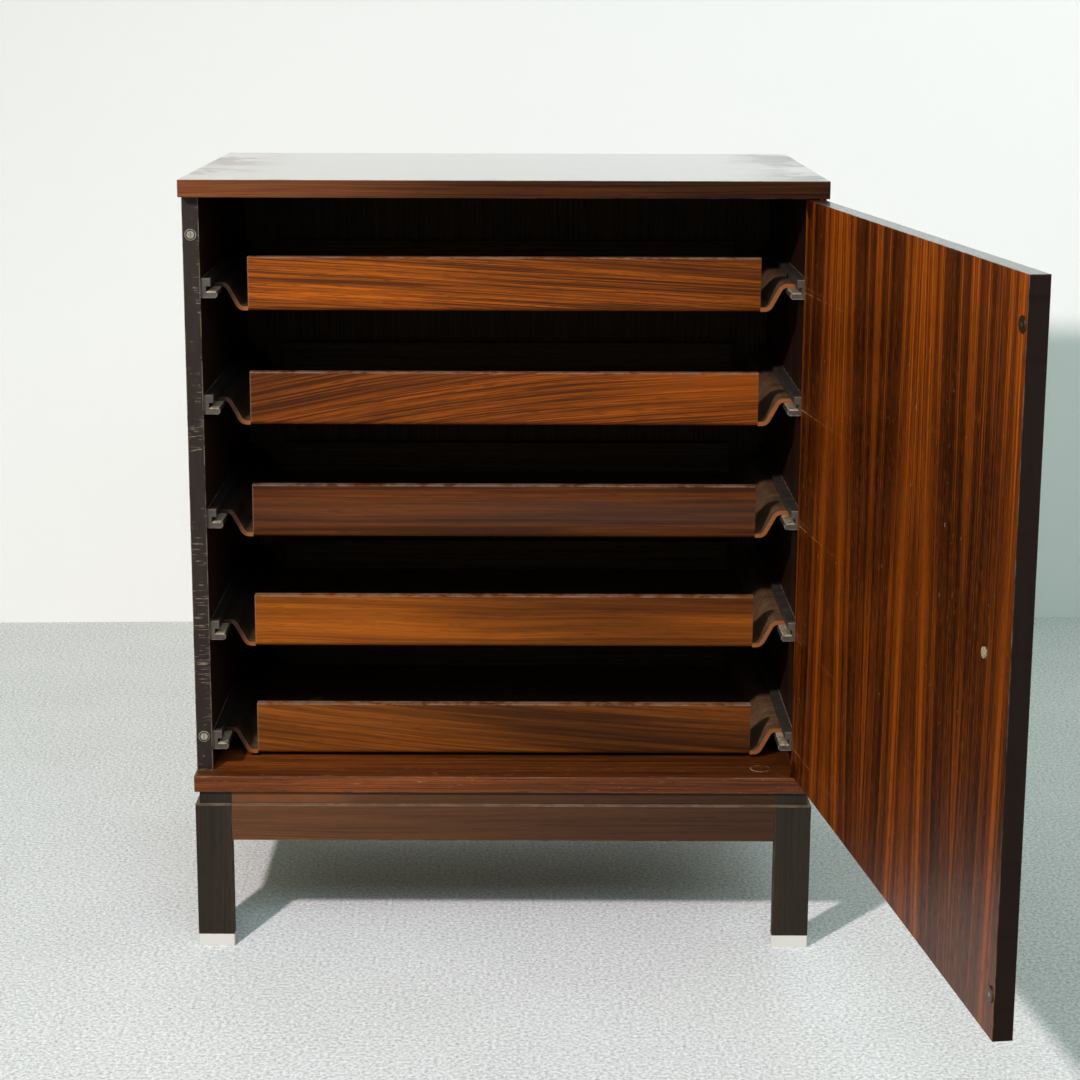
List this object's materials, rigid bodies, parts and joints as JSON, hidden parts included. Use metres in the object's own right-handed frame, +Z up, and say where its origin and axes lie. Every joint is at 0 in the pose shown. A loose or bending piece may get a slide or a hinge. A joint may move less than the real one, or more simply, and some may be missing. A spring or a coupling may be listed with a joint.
{
  "type": "tray cabinet",
  "caption": "Low dark wood cabinet on a square leg frame, with a flat pivot-hung door and moulded plywood trays on grooved side rails.",
  "frame": {"origin": "on the floor, midway between the outermost faces of the whole cabinet as stored, with its door open", "axes": "+Z up from the floor, +X to the right seen from the front, +Y from the open front to the back"},
  "size_m": [0.8234, 1.1614, 0.9],
  "materials": {
    "board_veneer": "satin lacquered dark veneer",
    "side_veneer": "satin lacquered dark veneer",
    "door_veneer": "satin lacquered striped veneer",
    "rear_ply": "matt plywood",
    "dowel_wood": "plain beech",
    "block_wood": "plain planed wood",
    "leg_wood": "satin dark stained wood",
    "apron_wood": "satin dark stained wood",
    "plug_wood": "satin dark stained wood",
    "knob_wood": "polished turned wood",
    "tray_ply": "satin moulded plywood",
    "tray_front_wood": "satin warm brown wood",
    "tray_back_wood": "satin warm brown wood",
    "shoe_plastic": "matt cream plastic",
    "rail_plastic": "matt dark grey",
    "glide_nylon": "cream nylon",
    "pivot_steel": "brushed, dull",
    "screw_steel": "bright plated",
    "strike_steel": "dark, worn",
    "magnet_nickel": "dull nickel"
  },
  "bodies": {
    "carcass": {"top_board": "board_veneer", "bottom_board": "board_veneer", "left_side": "side_veneer", "right_side": "side_veneer", "back_panel": "rear_ply", "carcass_dowels": "dowel_wood", "back_screws": "screw_steel", "front_left_leg": "leg_wood", "front_right_leg": "leg_wood", "back_left_leg": "leg_wood", "back_right_leg": "leg_wood", "front_apron": "apron_wood", "back_apron": "apron_wood", "left_apron": "apron_wood", "right_apron": "apron_wood", "leg_shoes": "shoe_plastic", "corner_blocks": "block_wood", "frame_screws": "screw_steel", "board_plugs": "plug_wood", "upper_pivot_plate": "pivot_steel", "lower_pivot_plate": "pivot_steel", "pivot_plate_screws": "screw_steel", "pivot_washer": "glide_nylon", "catch_magnets": "magnet_nickel", "left_rail_1": "rail_plastic", "right_rail_1": "rail_plastic", "left_rail_2": "rail_plastic", "right_rail_2": "rail_plastic", "left_rail_3": "rail_plastic", "right_rail_3": "rail_plastic", "left_rail_4": "rail_plastic", "right_rail_4": "rail_plastic", "left_rail_5": "rail_plastic", "right_rail_5": "rail_plastic", "rail_glides": "glide_nylon", "rail_screws": "screw_steel"},
    "door_leaf": {"door": "door_veneer", "door_knob": "knob_wood", "knob_screw": "screw_steel", "upper_door_plate": "pivot_steel", "lower_door_plate": "pivot_steel", "door_plate_screws": "screw_steel", "strike_plates": "strike_steel", "strike_screws": "screw_steel"},
    "tray_1": {"tray_1_shell": "tray_ply", "tray_1_front": "tray_front_wood", "tray_1_back": "tray_back_wood"},
    "tray_2": {"tray_2_shell": "tray_ply", "tray_2_front": "tray_front_wood", "tray_2_back": "tray_back_wood"},
    "tray_3": {"tray_3_shell": "tray_ply", "tray_3_front": "tray_front_wood", "tray_3_back": "tray_back_wood"},
    "tray_4": {"tray_4_shell": "tray_ply", "tray_4_front": "tray_front_wood", "tray_4_back": "tray_back_wood"},
    "tray_5": {"tray_5_shell": "tray_ply", "tray_5_front": "tray_front_wood", "tray_5_back": "tray_back_wood"}
  },
  "joints": [
    {"name": "door_hinge", "type": "hinge", "parent": "carcass", "child": "door_leaf", "pos_m": [0.29926, 0.12475, 0.545], "axis": [0, 0, 1], "range_deg": [-97.7, 12.3]},
    {"name": "tray_1_slide", "type": "slide", "parent": "carcass", "child": "tray_1", "axis": [0, -1, 0], "range_m": [0, 0.3]},
    {"name": "tray_2_slide", "type": "slide", "parent": "carcass", "child": "tray_2", "axis": [0, -1, 0], "range_m": [0, 0.3]},
    {"name": "tray_3_slide", "type": "slide", "parent": "carcass", "child": "tray_3", "axis": [0, -1, 0], "range_m": [0, 0.3]},
    {"name": "tray_4_slide", "type": "slide", "parent": "carcass", "child": "tray_4", "axis": [0, -1, 0], "range_m": [0, 0.3]},
    {"name": "tray_5_slide", "type": "slide", "parent": "carcass", "child": "tray_5", "axis": [0, -1, 0], "range_m": [0, 0.3]}
  ]
}
